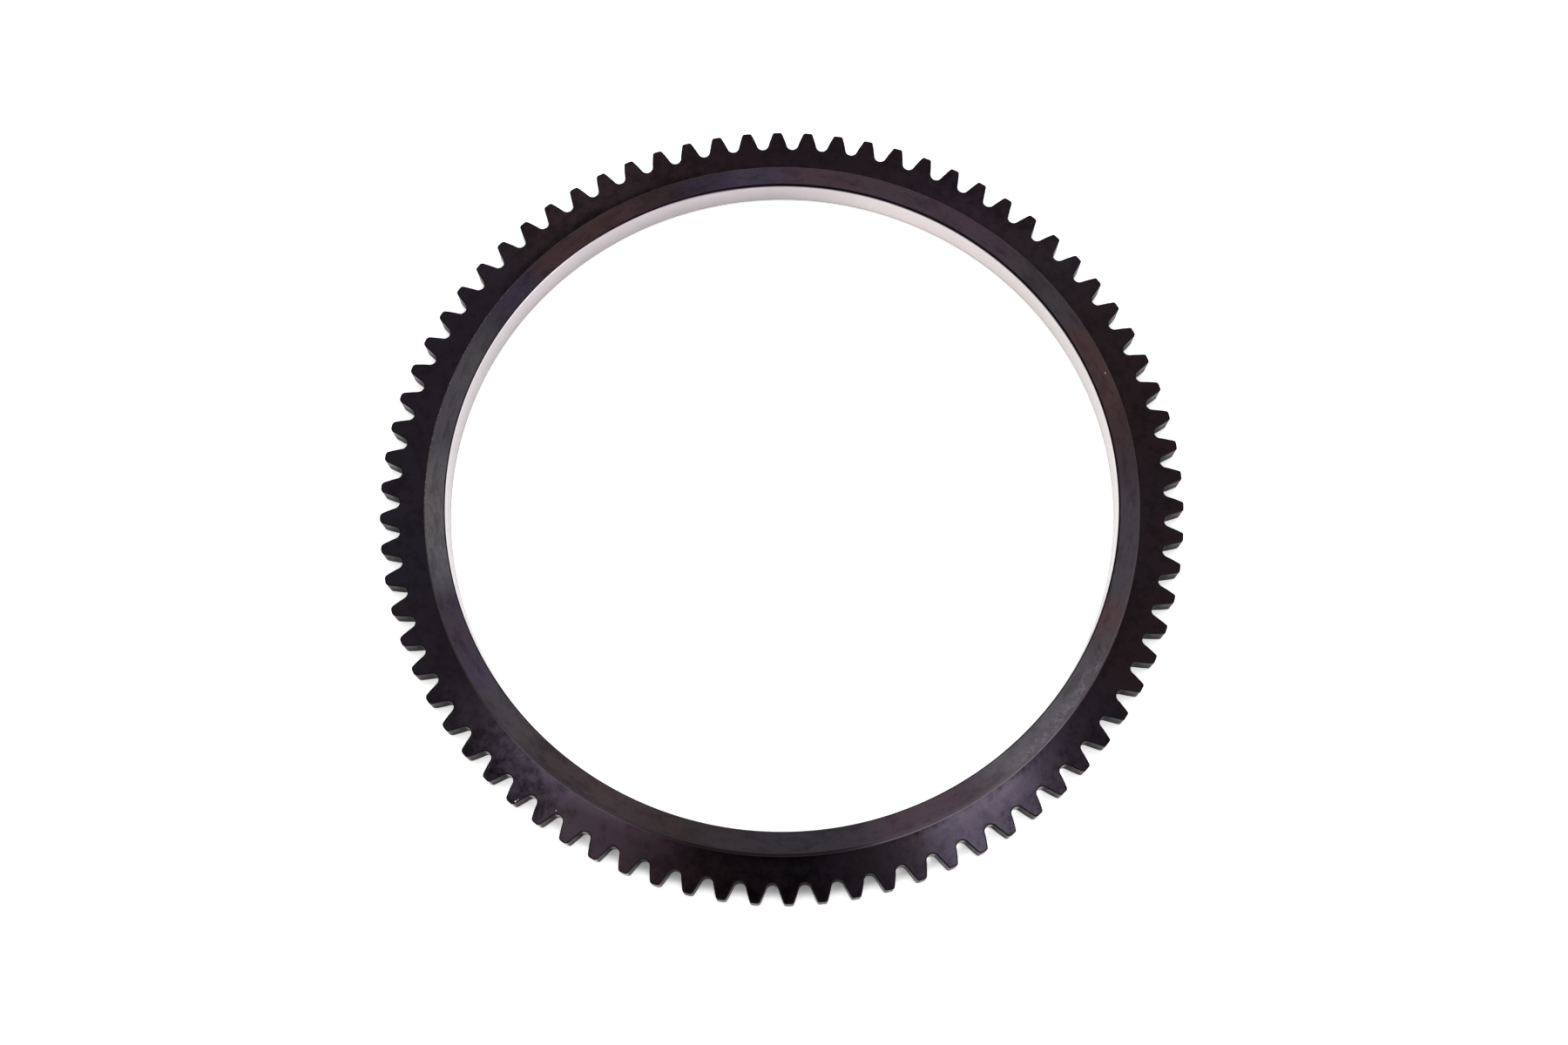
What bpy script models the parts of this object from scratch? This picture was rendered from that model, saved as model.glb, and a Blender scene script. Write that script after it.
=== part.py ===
# Ring gear for an engine's flywheel: one steel ring, turned and then cut with stub teeth.
# Metres, +Z up. The ring lies flat with its raised shoulder on top, its origin is the centre
# of its bottom face, and one tooth stands on +Y and one on -Y.

import math

import bmesh
import bpy

# Teeth. The tip and root heights are measured from the pitch circle. The corner share keeps
# part of the tip land flat between its two round corners. The pinion slides in from above, so
# the teeth's upper edges are broken all the way round, and below only the tips are chamfered.
TOOTH_COUNT = 78
MODULE = 0.00254
PRESSURE_ANGLE = math.radians(20.0)
ADDENDUM = 0.00212
DEDENDUM = 0.0028
TOOTH_THINNING = 0.00018
TIP_CORNER_RADIUS = 0.0006
LARGEST_CORNER_SHARE = 0.6
UPPER_EDGE_BREAK = 0.0003
LOWER_TIP_CHAMFER = 0.0003
FACE_WIDTH = 0.00635

# Ring behind the teeth. Widths and thicknesses are radial, heights are along the axis.
RIM_THICKNESS = 0.012
SHOULDER_WIDTH = 0.0053
SHOULDER_HEIGHT = 0.0032
SHOULDER_EDGE_BREAK = 0.00025
SHOULDER_FILLET = 0.0005
BORE_EDGE_BREAK = 0.0004
BORE_LEAD_IN = 0.0007

# Fineness of the round stretches
FACETS_PER_TOOTH = 2
ROOT_ARC_STEPS = 3
FLANK_STEPS = 2
CORNER_ARC_STEPS = 2
FILLET_STEPS = 2

# Allowances of the tooth cutter and of the blank, which stands proud of the tips, and the
# limits of the weld, the solvers and the shading
CUTTER_OVERRUN = 0.002
BLANK_ALLOWANCE = 0.0006
WELD_DISTANCE = 0.000001
SOLVER_PASSES = 60
SHARP_EDGE_ANGLE = math.radians(35.0)

# Sizes that follow from the ones above
PITCH_RADIUS = MODULE * TOOTH_COUNT / 2
BASE_RADIUS = PITCH_RADIUS * math.cos(PRESSURE_ANGLE)
TIP_RADIUS = PITCH_RADIUS + ADDENDUM
ROOT_RADIUS = PITCH_RADIUS - DEDENDUM
HALF_PITCH_ANGLE = math.pi / TOOTH_COUNT
TOOTH_THICKNESS = math.pi * MODULE / 2 - TOOTH_THINNING
BORE_RADIUS = ROOT_RADIUS - RIM_THICKNESS
SHOULDER_RADIUS = BORE_RADIUS + SHOULDER_WIDTH
TOTAL_HEIGHT = FACE_WIDTH + SHOULDER_HEIGHT
FACET_COUNT = FACETS_PER_TOOTH * TOOTH_COUNT


def clear_scene():
    for existing in list(bpy.data.objects):
        bpy.data.objects.remove(existing, do_unlink=True)


def make_collection(name):
    collection = bpy.data.collections.new(name)
    bpy.context.scene.collection.children.link(collection)
    return collection


# Tooth outline, worked out for one tooth whose centre line is the X axis

def involute(angle):
    return math.tan(angle) - angle


def flank_angle(radius):
    """Angle between the tooth's centre line and its flank at a radius."""
    pressure = math.acos(min(1.0, BASE_RADIUS / radius))
    at_pitch = TOOTH_THICKNESS / (2 * PITCH_RADIUS) + involute(PRESSURE_ANGLE)
    return at_pitch - involute(pressure)


def polar(radius, angle):
    return (radius * math.cos(angle), radius * math.sin(angle))


def flank_point(radius):
    return polar(radius, flank_angle(radius))


def nearest_on_flank(point):
    """Radius at which the flank comes closest to a point, and that distance."""
    low = ROOT_RADIUS
    high = TIP_RADIUS
    for _ in range(SOLVER_PASSES):
        third = (high - low) / 3
        inner = math.dist(point, flank_point(low + third))
        outer = math.dist(point, flank_point(high - third))
        if inner < outer:
            high -= third
        else:
            low += third
    radius = (low + high) / 2
    return radius, math.dist(point, flank_point(radius))


def root_circle():
    """Round gap bottom: the circle that touches the root circle and both flanks."""
    low = 0.0
    high = HALF_PITCH_ANGLE * PITCH_RADIUS
    for _ in range(SOLVER_PASSES):
        size = (low + high) / 2
        centre = polar(ROOT_RADIUS + size, HALF_PITCH_ANGLE)
        contact, distance = nearest_on_flank(centre)
        if distance > size:
            low = size
        else:
            high = size
    return centre, size, contact


def corner_circle():
    """Round tip corner: the circle that touches the tip circle and the flank from inside."""
    widest = flank_angle(TIP_RADIUS)
    size = min(TIP_CORNER_RADIUS, LARGEST_CORNER_SHARE * widest * TIP_RADIUS)
    low = 0.0
    high = widest
    for _ in range(SOLVER_PASSES):
        angle = (low + high) / 2
        centre = polar(TIP_RADIUS - size, angle)
        contact, distance = nearest_on_flank(centre)
        if distance > size:
            low = angle
        else:
            high = angle
    return centre, size, angle, contact


def arc_points(centre, size, start, end, steps):
    """Points after the first on an arc between two directions, taken the short way."""
    sweep = math.remainder(end - start, math.tau)
    points = []
    for step in range(1, steps + 1):
        turn = start + sweep * step / steps
        points.append((centre[0] + size * math.cos(turn), centre[1] + size * math.sin(turn)))
    return points


def direction(centre, point):
    return math.atan2(point[1] - centre[1], point[0] - centre[0])


def half_tooth():
    """Outline from the middle of a gap, up one flank, to the edge of the flat tip land."""
    root_centre, root_size, root_contact = root_circle()
    corner_centre, corner_size, corner_angle, corner_contact = corner_circle()

    lowest = polar(ROOT_RADIUS, HALF_PITCH_ANGLE)
    points = [lowest]
    points += arc_points(
        root_centre,
        root_size,
        direction(root_centre, lowest),
        direction(root_centre, flank_point(root_contact)),
        ROOT_ARC_STEPS,
    )
    rise = corner_contact - root_contact
    for step in range(1, FLANK_STEPS + 1):
        points.append(flank_point(root_contact + rise * step / FLANK_STEPS))
    points += arc_points(
        corner_centre,
        corner_size,
        direction(corner_centre, flank_point(corner_contact)),
        corner_angle,
        CORNER_ARC_STEPS,
    )
    return points


def gear_outline():
    """All teeth in order round the ring, starting with the one on +Y."""
    rising = half_tooth()
    tooth = [(x, -y) for x, y in rising] + rising[:0:-1]
    outline = []
    for index in range(TOOTH_COUNT):
        turn = math.pi / 2 + index * math.tau / TOOTH_COUNT
        cosine = math.cos(turn)
        sine = math.sin(turn)
        outline += [(x * cosine - y * sine, x * sine + y * cosine) for x, y in tooth]
    return outline


# Solids

def toothed_cutter(collection):
    """Tall prism with the gear's outline. The ring keeps what lies inside it."""
    curve = bpy.data.curves.new("tooth_outline", "CURVE")
    curve.dimensions = "2D"
    curve.fill_mode = "BOTH"
    curve.extrude = TOTAL_HEIGHT / 2 + CUTTER_OVERRUN
    outline = gear_outline()
    spline = curve.splines.new("POLY")
    spline.points.add(len(outline) - 1)
    for point, (x, y) in zip(spline.points, outline):
        point.co = (x, y, 0.0, 1.0)
    spline.use_cyclic_u = True
    drawn = bpy.data.objects.new("tooth_outline", curve)
    drawn.location.z = TOTAL_HEIGHT / 2
    collection.objects.link(drawn)

    cutter = bpy.data.objects.new("tooth_cutter", evaluated_mesh(drawn))
    cutter.matrix_world = drawn.matrix_world.copy()
    cutter.hide_render = True
    cutter.display_type = "WIRE"
    collection.objects.link(cutter)
    bpy.data.objects.remove(drawn, do_unlink=True)
    return cutter


def blank_profile():
    """Half section of the turned blank: over the top, down the outside, back and up the bore."""
    chamfer_start = TIP_RADIUS - LOWER_TIP_CHAMFER
    blank_radius = TIP_RADIUS + BLANK_ALLOWANCE
    profile = [
        (BORE_RADIUS + BORE_EDGE_BREAK, TOTAL_HEIGHT),
        (SHOULDER_RADIUS - SHOULDER_EDGE_BREAK, TOTAL_HEIGHT),
        (SHOULDER_RADIUS, TOTAL_HEIGHT - SHOULDER_EDGE_BREAK),
    ]
    for step in range(FILLET_STEPS + 1):
        turn = math.pi + math.pi / 2 * step / FILLET_STEPS
        profile.append((
            SHOULDER_RADIUS + SHOULDER_FILLET * (1 + math.cos(turn)),
            FACE_WIDTH + SHOULDER_FILLET * (1 + math.sin(turn)),
        ))
    profile += [
        (blank_radius, FACE_WIDTH),
        (blank_radius, blank_radius - chamfer_start),
        (chamfer_start, 0.0),
        (BORE_RADIUS + BORE_LEAD_IN, 0.0),
        (BORE_RADIUS, BORE_LEAD_IN),
        (BORE_RADIUS, TOTAL_HEIGHT - BORE_EDGE_BREAK),
    ]
    return profile


def turned_blank(collection):
    """The ring before its teeth are cut, turned from its half section."""
    profile = blank_profile()
    count = len(profile)
    mesh = bpy.data.meshes.new("ring_gear")
    loop = [(index, (index + 1) % count) for index in range(count)]
    mesh.from_pydata([(radius, 0.0, height) for radius, height in profile], loop, [])
    blank = bpy.data.objects.new("ring_gear", mesh)
    # Half a facet of turn puts the middle of a facet under each tooth
    blank.rotation_euler.z = math.pi / FACET_COUNT
    collection.objects.link(blank)

    turn = blank.modifiers.new("turn", "SCREW")
    turn.axis = "Z"
    turn.angle = math.tau
    turn.steps = FACET_COUNT
    turn.render_steps = FACET_COUNT
    turn.use_merge_vertices = True
    turn.merge_threshold = WELD_DISTANCE
    return blank


def evaluated_mesh(source):
    """Mesh of an object as its modifiers or curve settings leave it, with its seams welded."""
    bpy.context.view_layer.update()
    graph = bpy.context.evaluated_depsgraph_get()
    mesh = bpy.data.meshes.new_from_object(source.evaluated_get(graph))
    shape = bmesh.new()
    shape.from_mesh(mesh)
    bmesh.ops.remove_doubles(shape, verts=shape.verts, dist=WELD_DISTANCE)
    shape.to_mesh(mesh)
    shape.free()
    return mesh


def break_upper_edges(mesh):
    """Chamfer along the teeth's outline on their upper face, at tips, flanks and roots alike."""
    shape = bmesh.new()
    shape.from_mesh(mesh)
    outline = []
    for edge in shape.edges:
        on_face = all(abs(end.co.z - FACE_WIDTH) < WELD_DISTANCE for end in edge.verts)
        if on_face and edge.calc_face_angle() > SHARP_EDGE_ANGLE:
            outline.append(edge)
    bmesh.ops.bevel(
        shape,
        geom=outline,
        offset=UPPER_EDGE_BREAK,
        offset_type="OFFSET",
        segments=1,
        affect="EDGES",
    )
    shape.to_mesh(mesh)
    shape.free()


def blackened_steel():
    material = bpy.data.materials.new("blackened_steel")
    material.use_nodes = True
    shader = material.node_tree.nodes["Principled BSDF"]
    shader.inputs["Base Color"].default_value = (0.016, 0.013, 0.016, 1.0)
    shader.inputs["Roughness"].default_value = 0.42
    shader.inputs["Metallic"].default_value = 0.7
    return material


def ring_gear(parts, cutters):
    """Turned blank with its teeth cut, as one closed mesh."""
    ring = turned_blank(parts)
    teeth = ring.modifiers.new("teeth", "BOOLEAN")
    teeth.operation = "INTERSECT"
    teeth.solver = "EXACT"
    teeth.object = toothed_cutter(cutters)

    finished = evaluated_mesh(ring)
    break_upper_edges(finished)
    ring.modifiers.clear()
    ring.data = finished
    ring.data.name = "ring_gear"
    ring.data.materials.clear()
    ring.data.materials.append(blackened_steel())
    ring.data.shade_smooth()
    ring.data.set_sharp_from_angle(angle=SHARP_EDGE_ANGLE)
    return ring


def main():
    clear_scene()
    parts = make_collection("flywheel_ring_gear")
    cutters = make_collection("cutters")
    ring_gear(parts, cutters)


main()
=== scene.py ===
import math

import bpy
import numpy as np
from mathutils import Matrix, Vector


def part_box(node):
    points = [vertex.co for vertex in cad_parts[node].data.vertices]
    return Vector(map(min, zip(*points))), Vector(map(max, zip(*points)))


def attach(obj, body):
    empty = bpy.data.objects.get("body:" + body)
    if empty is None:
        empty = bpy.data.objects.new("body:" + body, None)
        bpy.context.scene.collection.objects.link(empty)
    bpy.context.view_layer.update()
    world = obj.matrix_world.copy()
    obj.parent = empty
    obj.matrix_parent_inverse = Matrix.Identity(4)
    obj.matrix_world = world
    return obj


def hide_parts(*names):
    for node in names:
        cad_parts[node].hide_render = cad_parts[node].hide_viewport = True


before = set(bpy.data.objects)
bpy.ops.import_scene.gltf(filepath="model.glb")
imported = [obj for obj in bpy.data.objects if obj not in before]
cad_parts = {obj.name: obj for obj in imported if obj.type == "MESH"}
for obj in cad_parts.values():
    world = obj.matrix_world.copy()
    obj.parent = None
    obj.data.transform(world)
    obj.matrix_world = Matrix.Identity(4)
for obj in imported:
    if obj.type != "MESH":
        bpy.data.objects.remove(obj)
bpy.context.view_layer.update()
mm = 0.001
print("frame loaded")


# Shader maths on sockets, so that a mask reads as a plain sum

class Wire:
    def __init__(self, finish, socket):
        self.finish = finish
        self.socket = socket

    def maths(self, operation, *values):
        sockets = {index: value for index, value in enumerate(values)}
        return self.finish.node("Math", {"operation": operation}, sockets)

    def __add__(self, other):
        return self.maths("ADD", self, other)

    def __radd__(self, other):
        return self.maths("ADD", other, self)

    def __sub__(self, other):
        return self.maths("SUBTRACT", self, other)

    def __rsub__(self, other):
        return self.maths("SUBTRACT", other, self)

    def __mul__(self, other):
        return self.maths("MULTIPLY", self, other)

    def __rmul__(self, other):
        return self.maths("MULTIPLY", other, self)

    def __truediv__(self, other):
        return self.maths("DIVIDE", self, other)

    def __rtruediv__(self, other):
        return self.maths("DIVIDE", other, self)

    def __pow__(self, other):
        return self.maths("POWER", self, other)

    def __abs__(self):
        return self.maths("ABSOLUTE", self)


class Finish:  # one material, or the world, under construction
    def __init__(self, owner):
        owner.use_nodes = True
        self.owner = owner
        self.tree = owner.node_tree
        self.tree.nodes.clear()

    def node(self, kind, settings=None, sockets=None, output=0):
        made = self.tree.nodes.new("ShaderNode" + kind)
        for name, value in (settings or {}).items():
            setattr(made, name, value)
        for name, value in (sockets or {}).items():
            if isinstance(value, Wire):
                self.tree.links.new(value.socket, made.inputs[name])
            else:
                made.inputs[name].default_value = value
        return Wire(self, made.outputs[output]) if made.outputs else None

    def blend(self, factor, first, second):  # colours only
        return self.node("Mix", {"data_type": "RGBA", "clamp_factor": True},
                         {0: factor, 6: first, 7: second}, output=2)

    def vector(self, x, y, z):
        return self.node("CombineXYZ", None, {0: x, 1: y, 2: z})

    def noise(self, place, scale, detail=2.0, roughness=0.5, stretch=None):
        if stretch:
            place = self.node("VectorMath", {"operation": "MULTIPLY"}, {0: place, 1: stretch})
        return self.node("TexNoise", None, {"Vector": place, "Scale": scale, "Detail": detail,
                                            "Roughness": roughness}, output="Fac")

    def step(self, value, low, high):  # 0 below low, 1 above high, smooth between
        return self.node("MapRange", {"interpolation_type": "SMOOTHSTEP"},
                         {"Value": value, "From Min": low, "From Max": high})

    def zone(self, value, low, high):  # the same, with its ends in millimetres
        return self.step(value, low * mm, high * mm)

    def surface(self, sockets):
        shader = self.node("BsdfPrincipled", None, sockets)
        self.node("OutputMaterial", None, {"Surface": shader})
        return self.owner


def rgb(red, green, blue):  # a colour as a screen shows it, turned into the linear one of nodes
    linear = []
    for level in (red, green, blue):
        level /= 255
        linear.append(level / 12.92 if level <= 0.04045 else ((level + 0.055) / 1.055) ** 2.4)
    return (*linear, 1.0)


def grey(level):
    return (level, level, level, 1.0)


black = grey(0.0)
white = grey(1.0)


# Toothed outline. Lengths are millimetres. Tip radius and height come from the frame.

_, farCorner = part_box("ring_gear")
gear = {
    "tipRadius": farCorner.y / mm,
    "height": farCorner.z / mm,
    "teeth": 78,
    "module": 2.54,
    "pressureAngle": 20.0,
    "toothDepth": 4.92,
    "thinning": 0.18,
    "cornerRadius": 0.6,
    "wornCorner": 0.5,  # added on the worn side, whose azimuth is in degrees
    "wornSide": 196.0,
    "flankSamples": 4001,
    "touchRounds": 48,
    "rootSteps": 8,
    "flankSteps": 5,
    "cornerSteps": 4,
    "landSteps": 2,
}
ring = {
    "faceHeight": 6.35,
    "rimThickness": 12.0,
    "shoulderWidth": 5.3,
    "shoulderEdge": 0.25,
    "shoulderFillet": 0.5,
    "filletSteps": 4,
    "boreEdge": 0.4,
    "boreLeadIn": 0.7,
    "upperBreak": 0.3,
    "lowerBreak": 0.08,
    "lowerTipChamfer": 0.3,
    "plainMargin": 0.3,
    "sharpDegrees": 30.0,
    "uvStrips": 13,
    "uvCells": 4,
    "uvMargin": 0.04,
}


def flankAngle(radius):  # from the tooth's centre line to its flank, radians
    pitchRadius = gear["module"] * gear["teeth"] / 2
    pressure = math.radians(gear["pressureAngle"])
    atRadius = np.arccos(np.minimum(1.0, pitchRadius * math.cos(pressure) / radius))
    thickness = math.pi * gear["module"] / 2 - gear["thinning"]
    atPitch = thickness / (2 * pitchRadius) + math.tan(pressure) - pressure
    return atPitch - np.tan(atRadius) + atRadius


def polar(radius, angle):
    return np.stack([radius * np.cos(angle), radius * np.sin(angle)], -1)


def touching(flank, centreOf, sizeOf, low, high):  # slides a circle until it touches the flank
    for _ in range(gear["touchRounds"]):
        middle = (low + high) / 2
        gaps = np.linalg.norm(flank - centreOf(middle), axis=1)
        if gaps.min() > sizeOf(middle):
            low = middle
        else:
            high = middle
    return centreOf(middle), sizeOf(middle), int(gaps.argmin())


def arc(centre, size, start, end, steps):
    first = math.atan2(*(start - centre)[::-1])
    sweep = math.remainder(math.atan2(*(end - centre)[::-1]) - first, math.tau)
    turns = first + sweep * np.arange(steps) / steps
    return centre + polar(size, turns)


def halfTooth(flank, corner):  # from the middle of a gap to the middle of the tip
    tip = gear["tipRadius"]
    root = tip - gear["toothDepth"]
    halfPitch = math.pi / gear["teeth"]
    rootCentre, rootSize, rootTouch = touching(
        flank, lambda size: polar(root + size, halfPitch), lambda size: size, 0.0, halfPitch * tip)
    cornerCentre, _, cornerTouch = touching(
        flank, lambda angle: polar(tip - corner, angle), lambda angle: corner, 0.0, flankAngle(tip))

    land = math.atan2(cornerCentre[1], cornerCentre[0])
    climb = np.linspace(rootTouch, cornerTouch, gear["flankSteps"] + 1)[:-1].astype(int)
    return np.concatenate([
        arc(rootCentre, rootSize, polar(root, halfPitch), flank[rootTouch], gear["rootSteps"]),
        flank[climb],
        arc(cornerCentre, corner, flank[cornerTouch], polar(tip, land), gear["cornerSteps"]),
        polar(tip, land * (1 - np.arange(gear["landSteps"]) / gear["landSteps"])),
    ])


def toothedOutline():  # every column of the ring, counter-clockwise, with its outward direction
    tip = gear["tipRadius"]
    radii = np.linspace(tip - gear["toothDepth"], tip, gear["flankSamples"])
    flank = polar(radii, flankAngle(radii))
    teeth = []
    for index in range(gear["teeth"]):
        turn = math.pi / 2 + index * math.tau / gear["teeth"]
        weight = max(0.0, math.cos(turn - math.radians(gear["wornSide"])))
        half = halfTooth(flank, gear["cornerRadius"] + gear["wornCorner"] * weight)
        tooth = np.concatenate([half * (1, -1), [[tip, 0.0]], half[:0:-1]])
        spin = np.array([[math.cos(turn), math.sin(turn)], [-math.sin(turn), math.cos(turn)]])
        teeth.append(tooth @ spin)
    outline = np.concatenate(teeth)
    along = np.roll(outline, -1, 0) - np.roll(outline, 1, 0)
    outward = np.stack([along[:, 1], -along[:, 0]], -1)
    return outline, outward / np.linalg.norm(outward, axis=1, keepdims=True)


# Section of the ring, from the bore's lower edge out, up and back in. Each row is the place of
# one loop of the mesh and the finish of the strip that follows it.

def sectionRows(outline, outward):
    height = gear["height"]
    face = ring["faceHeight"]
    root = gear["tipRadius"] - gear["toothDepth"]
    bore = root - ring["rimThickness"]
    plain = root - ring["upperBreak"] - ring["plainMargin"]
    shoulder = bore + ring["shoulderWidth"]
    angles = np.arctan2(outline[:, 1], outline[:, 0])
    rows = []

    def circle(radius, z, finish):
        rows.append((polar(np.full(len(angles), radius), angles), z, finish))

    def teeth(inset, z, finish, tipCut=0.0):
        loop = outline - outward * inset
        reach = np.linalg.norm(loop, axis=1)
        limit = gear["tipRadius"] - tipCut
        rows.append((loop * np.minimum(1.0, limit / reach)[:, None], z, finish))

    circle(bore, ring["boreLeadIn"], "bore")
    circle(bore + ring["boreLeadIn"], 0.0, "face")
    circle(bore + ring["rimThickness"] / 2, 0.0, "face")
    circle(plain, 0.0, "face")
    teeth(ring["lowerBreak"], 0.0, "flank", ring["lowerTipChamfer"])
    teeth(0.0, ring["lowerBreak"], "flank", ring["lowerTipChamfer"] - ring["lowerBreak"])
    teeth(0.0, ring["lowerTipChamfer"], "flank")
    teeth(0.0, face / 2, "flank")
    teeth(0.0, face - ring["upperBreak"], "brokenEdge")
    teeth(ring["upperBreak"], face, "face")
    circle(plain, face, "face")
    circle((root + shoulder) / 2, face, "face")
    for turn in np.linspace(math.pi * 1.5, math.pi, ring["filletSteps"] + 1):
        circle(shoulder + ring["shoulderFillet"] * (1 + math.cos(turn)),
               face + ring["shoulderFillet"] * (1 + math.sin(turn)), "band")
    circle(shoulder, height - ring["shoulderEdge"], "band")
    circle(shoulder - ring["shoulderEdge"], height, "band")
    circle((shoulder + bore) / 2, height, "band")
    circle(bore + ring["boreEdge"], height, "bore")
    circle(bore, height - ring["boreEdge"], "bore")
    circle(bore, height / 2, "bore")
    return rows


def fineRing(finishes):
    outline, outward = toothedOutline()
    rows = sectionRows(outline, outward)
    columns = len(outline)
    points = np.concatenate([
        np.column_stack([loop, np.full(columns, z)]) * mm for loop, z, _ in rows])

    column = np.tile(np.arange(columns), len(rows))
    row = np.repeat(np.arange(len(rows)), columns)
    nextColumn = (column + 1) % columns
    nextRow = (row + 1) % len(rows)
    quads = np.column_stack([row * columns + column, row * columns + nextColumn,
                             nextRow * columns + nextColumn, nextRow * columns + column])

    mesh = bpy.data.meshes.new("toothedRing")
    mesh.from_pydata(points.tolist(), [], quads.tolist())
    names = list(finishes)
    for name in names:
        mesh.materials.append(finishes[name])
    slots = np.repeat([names.index(finish) for _, _, finish in rows], columns)
    mesh.polygons.foreach_set("material_index", slots.astype(np.int32))
    unrolled(mesh, rows, outline, column, row)
    mesh.shade_smooth()
    mesh.set_sharp_from_angle(angle=math.radians(ring["sharpDegrees"]))
    mesh.validate()

    piece = bpy.data.objects.new("toothedRing", mesh)
    bpy.context.collection.objects.link(piece)
    print("toothed ring:", len(quads) * 2, "triangles")
    return piece


def unrolled(mesh, rows, outline, column, row):  # strips of six teeth, laid in a square of cells
    columns = len(outline)
    travel = np.linalg.norm(np.roll(outline, -1, 0) - outline, axis=1)
    along = np.concatenate([[0.0], np.cumsum(travel)])
    reach = [np.linalg.norm(loop, axis=1).mean() for loop, _, _ in rows]
    corners = [(size, z) for size, (_, z, _) in zip(reach, rows)]
    steps = [math.dist(here, there) for here, there in zip(corners, corners[1:] + corners[:1])]
    across = np.concatenate([[0.0], np.cumsum(steps)]) / sum(steps)

    perStrip = columns // ring["uvStrips"]
    strip = column // perStrip
    start = along[strip * perStrip]
    width = along[(strip + 1) * perStrip] - start
    left = (along[column] - start) / width
    right = (along[column + 1] - start) / width
    u = np.column_stack([left, right, right, left])
    v = np.column_stack([across[row], across[row], across[row + 1], across[row + 1]])
    cells = ring["uvCells"]
    margin = ring["uvMargin"]
    cellX = (strip % cells)[:, None]
    cellY = (strip // cells)[:, None]
    u = (cellX + margin / 2 + u * (1 - margin)) / cells
    v = (cellY + margin / 2 + v * (1 - margin)) / cells
    layer = mesh.uv_layers.new(name="OFBake")
    layer.uv.foreach_set("vector", np.stack([u, v], -1).astype(np.float32).ravel())


# Finishes. A place is an azimuth, half a width and a soft edge in degrees, then a depth where it
# has one. A noise is its scale, detail and roughness. Zones are millimetres.

def ringPlace(finish):  # object place, its parts and the radius, all in metres
    place = finish.node("TexCoord", output="Object")
    parts = finish.node("SeparateXYZ", None, {0: place}).socket.node
    x, y, z = (Wire(finish, socket) for socket in parts.outputs)
    radius = (x * x + y * y) ** 0.5
    return place, x, y, z, radius


# 1 within half degrees of the azimuth, fading to 0 over the soft degrees beyond

def sector(finish, place, azimuth, half, soft):
    _, x, y, _, radius = place
    turn = math.radians(azimuth)
    facing = (x * math.cos(turn) + y * math.sin(turn)) / radius
    return finish.step(facing, math.cos(math.radians(half + soft)), math.cos(math.radians(half)))


def tinted(finish, place, colour, settings):  # each tint of the oxide, stronger at its own places
    for tint, places in settings["tintPlaces"].items():
        for where in places:
            amount = sector(finish, place, *where) * settings["tinting"]
            colour = finish.blend(amount, colour, settings[tint])
    return colour


def latheMarks(finish, place, across, around, detail, roughness=0.5):  # they run round the ring
    _, x, y, _, radius = place
    unrolledPlace = finish.vector(radius * across, x / radius * around, y / radius * around)
    return finish.noise(unrolledPlace, 1.0, detail, roughness)


def nicked(finish, place, colour, nicks, bare):  # small knocks, each with its place and reach in mm
    _, x, y, _, _ = place
    ragged = finish.noise(place[0], 2200.0, 2.0) * 0.5 + 0.75
    for across, along, reach in nicks:
        away = ((x - across * mm) ** 2 + (y - along * mm) ** 2) ** 0.5 / (reach * mm)
        colour = finish.blend(finish.step(away * ragged, 1.0, 0.6), colour, bare)
    return colour


blackOxide = {
    "dark": rgb(35, 29, 33),
    "brown": rgb(42, 31, 33),
    "plum": rgb(39, 30, 37),
    "violet": rgb(39, 35, 43),
    "paintedLight": rgb(49, 44, 53),
    "bare": rgb(158, 152, 146),
    "roughness": 0.33,
    "unevenness": 0.2,
    "anisotropy": 0.915,
    "latheTurn": 0.25,
    "tintNoise": (24.0, 2.0),
    "patchNoise": (42.0, 3.0),
    "cloudNoise": (360.0, 5.0, 0.7),
    "cloudDepth": 0.45,
    "mottleNoise": (520.0, 5.0, 0.75, (1.0, 0.5, 1.0)),
    "mottleDepth": 0.34,
    "cleanLevel": 0.2,
    "lines": (3000.0, 1.0, 2.0),
    "lineStrength": 0.08,
    "lineHeight": 0.00004,
    "tinting": 0.7,
    "tintPlaces": {
        "brown": [(25.0, 8.0, 10.0), (124.0, 12.0, 10.0), (341.0, 4.0, 7.0)],
        "plum": [(78.0, 22.0, 12.0), (249.0, 6.0, 10.0)],
        "violet": [(306.0, 14.0, 12.0), (222.0, 12.0, 12.0), (176.0, 18.0, 12.0)],
    },
    "paintedShadePlaces": [(269.0, 6.0, 10.0, 0.4), (230.0, 4.0, 7.0, 0.25), (124.0, 11.0, 10.0, 0.36),
                   (64.0, 5.0, 9.0, 0.15)],
    "paintedShadeTeeth": [(316.0, 8.0, 10.0, 0.4), (226.0, 8.0, 9.0, 0.35), (284.0, 12.0, 10.0, 0.2),
                  (61.0, 12.0, 8.0, 0.2)],
    "teethZone": (92.0, 98.0),
    "paintedShadeFoot": (305.0, 9.0, 10.0),
    "footZone": (92.2, 90.0),
    "footDepth": 0.5,
    "paintedLightPlace": (305.0, 4.0, 8.0),
    "mottledPlaces": [(308.0, 14.0, 10.0), (238.0, 12.0, 8.0)],
    "nicks": [(-59.04, -80.74, 0.34), (-58.5, -80.3, 0.18), (-49.2, -82.2, 0.12),
              (-86.2, 43.5, 0.1)],
}


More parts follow.
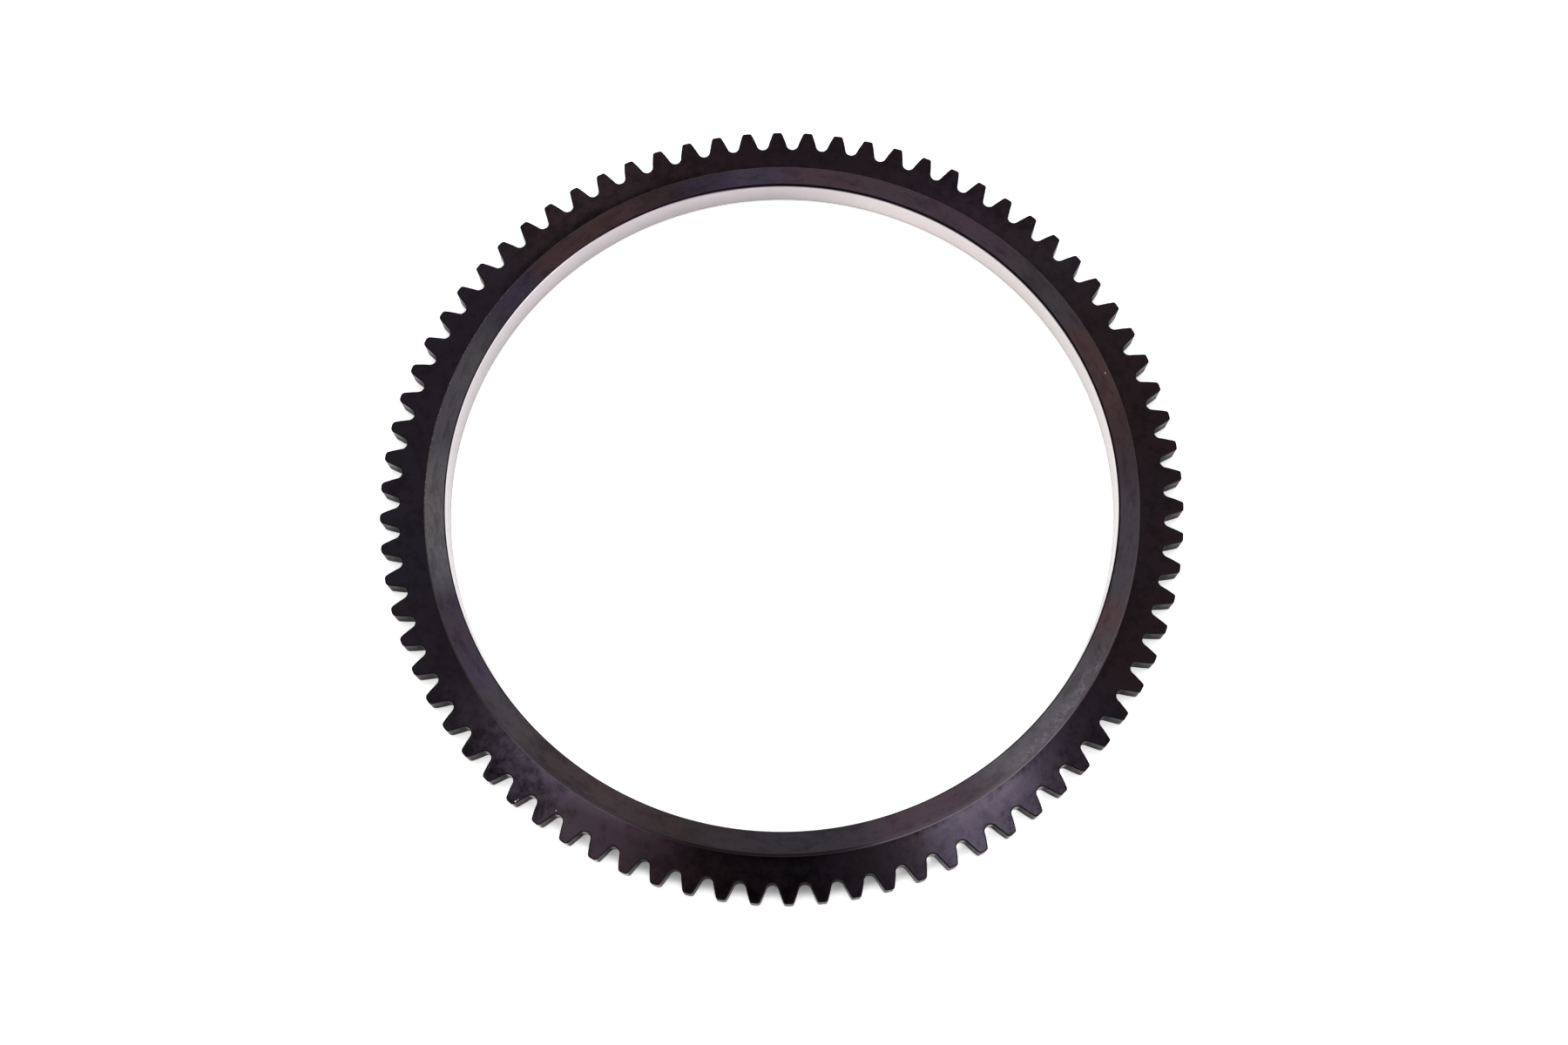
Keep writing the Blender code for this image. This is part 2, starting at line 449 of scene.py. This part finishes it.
def blackenedFace():
    finish = Finish(bpy.data.materials.new("blackenedFace"))
    place = ringPlace(finish)
    spot, _, _, _, radius = place
    clouds = finish.noise(spot, *blackOxide["cloudNoise"])
    patches = finish.noise(spot, *blackOxide["patchNoise"])
    tint = finish.noise(spot, *blackOxide["tintNoise"])
    colour = finish.blend(finish.step(tint, 0.32, 0.68), blackOxide["brown"], blackOxide["violet"])
    colour = tinted(finish, place, colour, blackOxide)
    colour = finish.blend(finish.step(patches, 0.26, 0.55), blackOxide["dark"], colour)

    cloudsAndPaintedShade = finish.step(clouds, 0.36, 0.64) * blackOxide["cloudDepth"]
    # painted shade: the face is darkened in the listed places, on the teeth and near the shoulder's
    # foot
    for *where, depth in blackOxide["paintedShadePlaces"]:
        cloudsAndPaintedShade = cloudsAndPaintedShade + sector(finish, place, *where) * depth
    onTeeth = finish.zone(radius, *blackOxide["teethZone"])
    for *where, depth in blackOxide["paintedShadeTeeth"]:
        cloudsAndPaintedShade = cloudsAndPaintedShade + sector(finish, place, *where) * onTeeth * depth
    nearFoot = finish.zone(radius, *blackOxide["footZone"]) * blackOxide["footDepth"]
    cloudsAndPaintedShade = cloudsAndPaintedShade + nearFoot * sector(finish, place, *blackOxide["paintedShadeFoot"])

    mottles = finish.step(finish.noise(spot, *blackOxide["mottleNoise"]), 0.36, 0.66)
    # painted sheen: the face is painted lighter and mottled in one streak
    paintedSheen = sector(finish, place, *blackOxide["paintedLightPlace"]) * (mottles * 0.6 + 0.4)
    colour = finish.blend(paintedSheen, colour, blackOxide["paintedLight"])
    for where in blackOxide["mottledPlaces"]:
        mottled = sector(finish, place, *where) * (mottles - 0.5)
        cloudsAndPaintedShade = cloudsAndPaintedShade + mottled * blackOxide["mottleDepth"]
    # the oxide's clouds and mottles together with the painted shade turn the colour towards black
    colour = finish.blend(cloudsAndPaintedShade - blackOxide["cleanLevel"], colour, black)
    colour = nicked(finish, place, colour, blackOxide["nicks"], blackOxide["bare"])

    bump = finish.node("Bump", None, {
        "Strength": blackOxide["lineStrength"],
        "Distance": blackOxide["lineHeight"],
        "Height": latheMarks(finish, place, *blackOxide["lines"]),
    })
    return finish.surface({
        "Base Color": colour,
        "Metallic": 1.0,
        "Roughness": blackOxide["roughness"] + (clouds - 0.5) * blackOxide["unevenness"],
        "Anisotropic": blackOxide["anisotropy"],
        "Anisotropic Rotation": blackOxide["latheTurn"],
        "Normal": bump,
    })


blackenedBreak = {
    "colour": rgb(26, 21, 25),
    "glancing": grey(0.3),
    "roughness": 0.45,
}


def brokenEdge():  # of the teeth, on their upper side
    finish = Finish(bpy.data.materials.new("brokenEdge"))
    return finish.surface({
        "Base Color": blackenedBreak["colour"],
        "Metallic": 1.0,
        "Specular Tint": blackenedBreak["glancing"],
        "Roughness": blackenedBreak["roughness"],
    })


turnedBand = {
    "grey": rgb(53, 46, 51),
    "brown": rgb(58, 43, 44),
    "plum": rgb(57, 46, 53),
    "violet": rgb(51, 46, 59),
    "slate": rgb(50, 48, 51),
    "umber": rgb(56, 48, 50),
    "paintedStreakedSheen": rgb(76, 74, 77),
    "corner": rgb(62, 56, 60),
    "fillet": rgb(60, 53, 57),
    "rimGlint": rgb(120, 108, 98),
    "foot": rgb(76, 69, 74),
    "paintedFootSheen": rgb(75, 70, 77),
    "pitted": rgb(112, 108, 114),
    "bare": rgb(170, 150, 140),
    "roughness": 0.58,
    "wallChange": 0.14,
    "unevenness": 0.2,
    "glancing": grey(0.8),
    "anisotropy": 0.2,
    "latheTurn": 0.25,
    "tintNoise": (24.0, 2.0),
    "patchNoise": (60.0, 3.0),
    "speckNoise": (1500.0, 2.0),
    "pitNoise": (900.0, 3.0, 0.7),
    "streaks": (1400.0, 45.0, 5.0, 0.7),
    "streakDepth": 0.35,
    "bands": (420.0, 12.0, 3.0, 0.6),
    "bandDepth": 0.3,
    "lines": (3600.0, 1.0, 2.0),
    "lineStrength": 0.1,
    "lineHeight": 0.00004,
    "tinting": 0.75,
    "tintPlaces": {
        "brown": [(23.0, 7.0, 8.0), (127.0, 11.0, 8.0), (341.0, 2.0, 5.0)],
        "plum": [(72.0, 24.0, 10.0)],
        "umber": [(248.0, 14.0, 8.0)],
        "violet": [(103.0, 5.0, 7.0), (149.0, 4.0, 6.0), (217.0, 3.0, 6.0)],
        "slate": [(43.0, 4.0, 6.0), (176.0, 20.0, 10.0), (225.0, 3.0, 6.0), (325.0, 9.0, 10.0),
                  (275.0, 8.0, 10.0), (353.0, 5.0, 6.0)],
    },
    "paintedStreakedSheenPlaces": [(188.5, 5.0, 9.0, 1.0), (168.0, 9.0, 9.0, 0.4), (321.0, 4.0, 13.0, 0.4)],
    "paintedShadePlaces": [(271.0, 11.0, 14.0, 0.5), (132.0, 16.0, 14.0, 0.22), (299.0, 4.0, 7.0, 0.2),
                   (209.0, 3.0, 6.0, 0.12), (111.0, 4.0, 7.0, 0.25), (242.0, 6.0, 9.0, 0.28),
                   (12.0, 2.0, 7.0, 0.22)],
    "paintedFootSheenPlaces": [(306.0, 14.0, 10.0), (237.0, 6.0, 10.0)],
    "rimPlace": (166.0, 12.0, 16.0),
    "lowPlace": (271.0, 8.0, 12.0),
    "lowDepth": 0.6,
    "pittedPlace": (325.0, 7.0, 8.0),
    "pittedDepth": 0.15,
    "cornerZone": (-0.06, 0.06),
    "rimZone": (-0.05, 0.1),
    "pittedZone": (-3.6, -0.8),
    "nicks": [(80.06, 37.25, 0.2), (66.9, -47.2, 0.14), (64.8, -49.4, 0.12),
              (69.3, -44.6, 0.12)],
}


def turnedShoulder():
    finish = Finish(bpy.data.materials.new("turnedShoulder"))
    place = ringPlace(finish)
    spot, _, _, z, radius = place
    streaks = latheMarks(finish, place, *turnedBand["streaks"])
    bands = latheMarks(finish, place, *turnedBand["bands"])
    patches = finish.noise(spot, *turnedBand["patchNoise"])
    tint = finish.noise(spot, *turnedBand["tintNoise"])
    colour = finish.blend(finish.step(tint, 0.35, 0.65), turnedBand["brown"], turnedBand["violet"])
    colour = finish.blend(finish.step(patches, 0.3, 0.6), turnedBand["grey"], colour)
    colour = tinted(finish, place, colour, turnedBand)
    streaky = finish.step(streaks, 0.3, 0.65) * 0.7 + 0.4
    # painted sheen: the band is painted lighter, in streaks, in the listed places
    for *where, depth in turnedBand["paintedStreakedSheenPlaces"]:
        weight = sector(finish, place, *where) * streaky * depth
        colour = finish.blend(weight, colour, turnedBand["paintedStreakedSheen"])
    uneven = finish.step(streaks, 0.5, 0.75) * turnedBand["streakDepth"]
    uneven = uneven + finish.step(bands, 0.45, 0.7) * turnedBand["bandDepth"]
    colour = finish.blend(uneven, colour, black)

    bore = gear["tipRadius"] - gear["toothDepth"] - ring["rimThickness"]
    corner = bore + ring["shoulderWidth"] - ring["shoulderEdge"]
    outside = radius / mm - corner
    # painted highlight: the shoulder's outer edge is painted lighter all round
    cornerHighlight = finish.step(outside, *turnedBand["cornerZone"])
    colour = finish.blend(cornerHighlight, colour, turnedBand["corner"])
    # painted reflection: the step's wall and its fillet are painted lighter than the band, the wall
    # lighter still as a painted sheen in the listed places
    wall = finish.zone(z, gear["height"] - ring["shoulderEdge"],
                       gear["height"] - ring["shoulderEdge"] * 1.4)
    colour = finish.blend(wall, colour, turnedBand["foot"])
    fillet = finish.zone(z, ring["faceHeight"] + ring["shoulderFillet"],
                         ring["faceHeight"] + ring["shoulderFillet"] * 0.7)
    colour = finish.blend(fillet, colour, turnedBand["fillet"])
    for where in turnedBand["paintedFootSheenPlaces"]:
        footSheen = wall * sector(finish, place, *where)
        colour = finish.blend(footSheen, colour, turnedBand["paintedFootSheen"])
    # painted shade: the step's wall is darkened at the front
    low = wall * sector(finish, place, *turnedBand["lowPlace"]) * turnedBand["lowDepth"]
    colour = finish.blend(low, colour, black)
    # painted shade: the band is darkened in the listed places
    for *where, depth in turnedBand["paintedShadePlaces"]:
        colour = finish.blend(sector(finish, place, *where) * depth, colour, black)

    top = 1.0 - wall
    specks = finish.step(finish.noise(spot, *turnedBand["speckNoise"]), 0.5, 0.62)
    # painted glints: light specks along the shoulder's outer edge on one side
    rimGlint = finish.step(outside, *turnedBand["rimZone"]) * specks * top
    rimGlint = rimGlint * sector(finish, place, *turnedBand["rimPlace"])
    colour = finish.blend(rimGlint, colour, turnedBand["rimGlint"])
    pitted = finish.step(finish.noise(spot, *turnedBand["pitNoise"]), 0.5, 0.6) * top
    pitted = pitted * finish.step(outside, *turnedBand["pittedZone"]) * turnedBand["pittedDepth"]
    pitted = pitted * sector(finish, place, *turnedBand["pittedPlace"])
    colour = finish.blend(pitted, colour, turnedBand["pitted"])
    colour = nicked(finish, place, colour, turnedBand["nicks"], turnedBand["bare"])

    roughness = turnedBand["roughness"] + wall * turnedBand["wallChange"]
    bump = finish.node("Bump", None, {
        "Strength": turnedBand["lineStrength"],
        "Distance": turnedBand["lineHeight"],
        "Height": latheMarks(finish, place, *turnedBand["lines"]),
    })
    return finish.surface({
        "Base Color": colour,
        "Metallic": 1.0,
        "Specular Tint": turnedBand["glancing"],
        "Roughness": roughness + (streaks - 0.5) * turnedBand["unevenness"],
        "Anisotropic": turnedBand["anisotropy"],
        "Anisotropic Rotation": turnedBand["latheTurn"],
        "Normal": bump,
    })


cutSteel = {
    "dark": rgb(54, 50, 51),
    "light": rgb(88, 85, 86),
    "shaded": rgb(16, 14, 15),
    "root": rgb(112, 108, 107),
    "paintedRootReflection": rgb(172, 168, 166),
    "tip": rgb(86, 81, 77),
    "paintedEndHighlight": rgb(200, 195, 191),
    "end": rgb(40, 36, 36),
    "paintedLight": rgb(138, 135, 135),
    "glancing": grey(0.5),
    "roughness": 0.38,
    "unevenness": 0.2,
    "oxideShine": 0.1,
    "marksUp": 500.0,
    "marksOut": 600.0,
    "marksAlong": 900.0,
    "markStrength": 0.25,
    "markHeight": 0.00005,
    "patchNoise": (220.0, 2.0),
    "shadedRoot": (2.6, 1.0),
    "shadedHeight": (4.4, 2.4),
    "shadedDepth": 0.8,
    "tipZone": (-0.9, -0.15),
    "rootZone": (0.7, 0.2),
    "endZone": (-0.45, -0.15),
    "endHeight": (4.8, 1.5),
    "endFade": 0.25,
    "sideTip": (-0.15, -0.6),
    "sideRoot": (0.3, 0.9),
    "paintedLightPlaces": [(38.0, 16.0, 20.0, 0.55), (148.0, 24.0, 22.0, 1.0)],
    "frontPlace": (271.0, 45.0, 14.0),
    "paintedShadePlace": (269.0, 8.0, 18.0),
    "paintedRootReflectionPlaces": [(236.0, 8.0, 12.0), (305.0, 8.0, 12.0)],
    "paintedEndHighlightPlace": (240.0, 9.0, 11.0),
    "endPlaces": [(308.0, 28.0, 12.0, 0.85), (265.0, 3.0, 8.0, 0.7), (286.0, 8.0, 6.0, 0.1)],
    "sidePlace": (283.0, 8.0, 12.0),
    "sideDepth": 0.6,
}


def cutFlank():
    finish = Finish(bpy.data.materials.new("cutFlank"))
    place = ringPlace(finish)
    spot, x, y, z, radius = place
    acrossFlank = z * cutSteel["marksUp"] + radius * cutSteel["marksOut"]
    along = cutSteel["marksAlong"]
    marks = finish.noise(finish.vector(acrossFlank, x * along, y * along), 1.0, 3.0)
    patches = finish.noise(spot, *cutSteel["patchNoise"])
    weight = finish.step(marks * 0.6 + patches * 0.4, 0.35, 0.7)
    colour = finish.blend(weight, cutSteel["dark"], cutSteel["light"])
    # painted reflection: the flanks are painted lighter in the listed places
    for *where, depth in cutSteel["paintedLightPlaces"]:
        paintedLight = sector(finish, place, *where) * (weight * 0.4 + 0.6) * depth
        colour = finish.blend(paintedLight, colour, cutSteel["paintedLight"])

    fromTip = radius / mm - gear["tipRadius"]
    fromRoot = fromTip + gear["toothDepth"]
    shaded = finish.step(fromRoot, *cutSteel["shadedRoot"])
    colour = finish.blend(shaded, colour, cutSteel["shaded"])
    shaded = finish.zone(z, *cutSteel["shadedHeight"]) * cutSteel["shadedDepth"]
    colour = finish.blend(shaded, colour, cutSteel["shaded"])
    # painted light: the flanks turn lighter near the tips
    colour = finish.blend(finish.step(fromTip, *cutSteel["tipZone"]), colour, cutSteel["tip"])

    # painted reflection: the roots of the front gaps are painted lighter, more so in the listed
    # places, but not in the middle, which keeps the painted shade
    atRoot = finish.step(fromRoot, *cutSteel["rootZone"])
    atRoot = atRoot * sector(finish, place, *cutSteel["frontPlace"])
    atRoot = atRoot * (1.0 - sector(finish, place, *cutSteel["paintedShadePlace"]))
    colour = finish.blend(atRoot, colour, cutSteel["root"])
    for where in cutSteel["paintedRootReflectionPlaces"]:
        colour = finish.blend(atRoot * sector(finish, place, *where), colour, cutSteel["paintedRootReflection"])

    # painted highlight: the tips' ends are painted pale in one place
    atTip = finish.step(fromTip, *cutSteel["endZone"])
    endHighlight = atTip * sector(finish, place, *cutSteel["paintedEndHighlightPlace"])
    colour = finish.blend(endHighlight, colour, cutSteel["paintedEndHighlight"])
    blackEnd = 0.0  # painted shade: the tips' ends turn darker and less metallic in the listed places, less so towards the floor
    for *where, depth in cutSteel["endPlaces"]:
        blackEnd = sector(finish, place, *where) * depth + blackEnd
    lower = finish.zone(z, *cutSteel["endHeight"]) * cutSteel["endFade"]
    blackEnd = blackEnd * atTip * (1.0 - lower)
    colour = finish.blend(blackEnd, colour, cutSteel["end"])
    # painted shade: the flanks lose their metal shine in one place, away from tip and root
    blackSide = sector(finish, place, *cutSteel["sidePlace"]) * cutSteel["sideDepth"]
    blackSide = blackSide * finish.step(fromTip, *cutSteel["sideTip"])
    blackSide = blackSide * finish.step(fromRoot, *cutSteel["sideRoot"])

    bump = finish.node("Bump", None, {
        "Strength": cutSteel["markStrength"],
        "Distance": cutSteel["markHeight"],
        "Height": marks,
    })
    return finish.surface({
        "Base Color": colour,
        "Metallic": 1.0 - blackEnd - blackSide,
        "Specular IOR Level": cutSteel["oxideShine"],
        "Specular Tint": cutSteel["glancing"],
        "Roughness": cutSteel["roughness"] + (patches - 0.5) * cutSteel["unevenness"],
        "Normal": bump,
    })


boreSteel = {
    "light": rgb(168, 160, 164),
    "grey": rgb(150, 145, 147),
    "foot": rgb(134, 127, 122),
    "paintedLight": rgb(188, 180, 180),
    "lip": rgb(236, 230, 232),
    "lipTop": rgb(34, 30, 33),
    "shadow": rgb(15, 9, 18),
    "roughness": 0.3,
    "unevenness": 0.12,
    "ringsUp": 5200.0,
    "ringsAlong": 14.0,
    "ringStrength": 0.2,
    "ringHeight": 0.00003,
    "patchNoise": (70.0, 2.0),
    "footHeight": (1.5, 0.7),
    "lipHeight": (-0.02, 0.02),
    "lipTopHeight": (-0.32, -0.28),
    "shadowHeight": (-1.1, -0.8),
    "paintedLightPlace": (36.0, 34.0, 26.0),
    "lipShadow": (57.0, 65.0, 24.0),
    "wallShadow": (67.0, 33.0, 20.0),
}


def brightBore():
    finish = Finish(bpy.data.materials.new("brightBore"))
    place = ringPlace(finish)
    spot, x, y, z, _ = place
    along = boreSteel["ringsAlong"]
    rings = finish.noise(finish.vector(z * boreSteel["ringsUp"], x * along, y * along), 1.0, 2.0)
    patches = finish.noise(spot, *boreSteel["patchNoise"])
    lighter = rings * 0.3 + patches * 0.3 + z / (gear["height"] * mm) * 0.4
    colour = finish.blend(finish.step(lighter, 0.3, 0.7), boreSteel["grey"], boreSteel["light"])
    # painted reflection: the bore is painted lighter in one place
    paintedLight = sector(finish, place, *boreSteel["paintedLightPlace"])
    colour = finish.blend(paintedLight, colour, boreSteel["paintedLight"])
    # painted shade: the bore turns darker and yellower at its foot, by the floor
    colour = finish.blend(finish.zone(z, *boreSteel["footHeight"]), colour, boreSteel["foot"])

    # painted highlight: the lower part of the chamfer at the bore's upper edge is painted near
    # white
    under = z / mm - gear["height"]
    lip = finish.step(under + ring["boreEdge"], *boreSteel["lipHeight"])
    colour = finish.blend(lip, colour, boreSteel["lip"])
    lipTop = finish.step(under, *boreSteel["lipTopHeight"])
    colour = finish.blend(lipTop, colour, boreSteel["lipTop"])
    shadow = finish.step(under, *boreSteel["shadowHeight"])
    shadow = shadow * sector(finish, place, *boreSteel["wallShadow"])
    colour = finish.blend(shadow, colour, boreSteel["shadow"])
    shadow = lip * sector(finish, place, *boreSteel["lipShadow"])
    colour = finish.blend(shadow, colour, boreSteel["shadow"])

    bump = finish.node("Bump", None, {
        "Strength": boreSteel["ringStrength"],
        "Distance": boreSteel["ringHeight"],
        "Height": rings,
    })
    return finish.surface({
        "Base Color": colour,
        "Metallic": 1.0,
        "Roughness": boreSteel["roughness"] + (rings - 0.5) * boreSteel["unevenness"],
        "Normal": bump,
    })


# Studio. Lengths are metres.

studio = {
    "floorSize": 8.0,
    "floorColour": rgb(248, 248, 248),
    "floorRoughness": 0.9,
    "glow": 0.5,
    "frontGlow": 0.1,
    "front": (-0.075, -0.094),
    "gapMargin": 1.2,
    "operatorAcross": (0.0, 0.565),
    "operatorShift": 0.017,
    "operatorBack": (0.15, 0.4),
    "operatorLevel": 0.05,
}


def floorFinish():  # glows to white, and less in the front gaps, which the photograph has greyer: a painted shade there
    finish = Finish(bpy.data.materials.new("paleFloor"))
    path = finish.node("LightPath").socket.node
    rays = ("Is Camera Ray", "Is Glossy Ray", "Is Transmission Ray")
    camera, glossy, transmission = (Wire(finish, path.outputs[name]) for name in rays)
    _, _, y, _, radius = ringPlace(finish)
    tip = gear["tipRadius"]
    margin = studio["gapMargin"]
    # painted shade: less glow on the floor in the front gaps between the teeth
    front = finish.step(y, *studio["front"])
    front = front * finish.zone(radius, tip - margin, tip - gear["toothDepth"] + margin)
    glow = finish.blend(front, grey(studio["glow"]), grey(studio["frontGlow"]))
    return finish.surface({
        "Base Color": studio["floorColour"],
        "Roughness": studio["floorRoughness"],
        "Specular IOR Level": 0.0,
        "Emission Color": finish.blend(camera + glossy + transmission, black, glow),
        "Emission Strength": 1.0,
    })


def paleFloor():
    half = studio["floorSize"] / 2
    mesh = bpy.data.meshes.new("paleFloor")
    corners = [(-half, -half, 0), (half, -half, 0), (half, half, 0), (-half, half, 0)]
    mesh.from_pydata(corners, [], [(0, 1, 2, 3)])
    floor = bpy.data.objects.new("paleFloor", mesh)
    bpy.context.collection.objects.link(floor)
    mesh.materials.append(floorFinish())


def studioWorld():  # even white, but for the dark of whoever leans over the ring from the front
    world = bpy.data.worlds.new("studio")
    bpy.context.scene.world = world
    finish = Finish(world)
    direction = finish.node("TexCoord", output="Generated")
    parts = finish.node("SeparateXYZ", None, {0: direction}).socket.node
    x, y, z = (Wire(finish, socket) for socket in parts.outputs)
    across = finish.step(abs(x / z - studio["operatorShift"]), *studio["operatorAcross"])
    behind = finish.step(y / z, *studio["operatorBack"])
    dark = (1.0 - across) * (1.0 - behind) * (1.0 - studio["operatorLevel"])
    seen = Wire(finish, finish.node("LightPath").socket.node.outputs["Is Camera Ray"])
    level = 1.0 - dark * (1.0 - seen)
    background = finish.node("Background", None, {"Color": white, "Strength": level})
    finish.node("OutputWorld", None, {"Surface": background})


softBoxes = {  # degrees, metres and watts; the kind of ray that a box is hidden from comes last
    "leftBox": {
        "azimuth": 217.0,
        "elevation": 62.7,
        "distance": 1.3,
        "size": 0.4,
        "watts": 8.9,
        "hidden": "visible_diffuse",
    },
    "rightBox": {
        "azimuth": 318.3,
        "elevation": 49.8,
        "distance": 1.3,
        "size": 0.4,
        "watts": 34.0,
        "hidden": "visible_diffuse",
    },
    "backSheet": {
        "azimuth": 92.0,
        "elevation": 72.0,
        "distance": 1.5,
        "size": 1.0,
        "watts": 11.0,
        "hidden": "visible_glossy",
    },
}


def aimed(place, target):
    return (Vector(target) - Vector(place)).to_track_quat("-Z", "Y")


def studioLights():
    for name, box in softBoxes.items():
        light = bpy.data.lights.new(name, "AREA")
        light.shape = "SQUARE"
        light.size = box["size"]
        light.energy = box["watts"]
        lamp = bpy.data.objects.new(name, light)
        bpy.context.collection.objects.link(lamp)
        azimuth = math.radians(box["azimuth"])
        elevation = math.radians(box["elevation"])
        lamp.location = Vector((math.cos(elevation) * math.cos(azimuth),
                                math.cos(elevation) * math.sin(azimuth),
                                math.sin(elevation))) * box["distance"]
        lamp.rotation_mode = "QUATERNION"
        lamp.rotation_quaternion = aimed(lamp.location, (0, 0, 0))
        setattr(lamp, box["hidden"], False)


# Camera, as the photograph was taken. Pixels are those of the 1800 by 1200 frame.

photoView = {
    "width": 1800,
    "sensor": 36.0,
    "focalPixels": 2221.07,
    "axisPixel": (936.84, 600.0),
    "ringPixel": (898.661, 570.142),
    "depthInTipRadii": 4.8184,
    "clipStart": 0.01,
    "elevation": 74.169,
    "roll": 2.516,
    "turn": 1.107,
}


def photoCamera():
    view = photoView
    data = bpy.data.cameras.new("photoCamera")
    data.sensor_width = view["sensor"]
    data.lens = view["sensor"] * view["focalPixels"] / view["width"]
    data.shift_x = 0.5 - view["axisPixel"][0] / view["width"]
    data.clip_start = view["clipStart"]
    camera = bpy.data.objects.new("photoCamera", data)
    bpy.context.collection.objects.link(camera)

    elevation = math.radians(view["elevation"])
    roll = math.radians(view["roll"])
    back = Vector((0, -math.cos(elevation), math.sin(elevation)))
    side = Vector((1, 0, 0))
    up = back.cross(side)
    right = math.cos(roll) * side + math.sin(roll) * up
    above = math.cos(roll) * up - math.sin(roll) * side
    depth = view["depthInTipRadii"] * gear["tipRadius"] * mm
    aside = (view["ringPixel"][0] - view["axisPixel"][0]) / view["focalPixels"]
    below = (view["ringPixel"][1] - view["axisPixel"][1]) / view["focalPixels"]
    place = -(aside * right - below * above - back) * depth
    place.z += ring["faceHeight"] * mm
    pose = Matrix((right, above, back)).transposed().to_4x4()
    pose.translation = place
    camera.matrix_world = Matrix.Rotation(math.radians(view["turn"]), 4, "Z") @ pose
    bpy.context.scene.camera = camera


photoCamera()
print("camera placed")
piece = fineRing({
    "face": blackenedFace(),
    "brokenEdge": brokenEdge(),
    "band": turnedShoulder(),
    "flank": cutFlank(),
    "bore": brightBore(),
})
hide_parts("ring_gear")
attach(piece, "root")
paleFloor()
studioWorld()
studioLights()
print("studio set")

bpy.context.scene.view_settings.view_transform = "Standard"
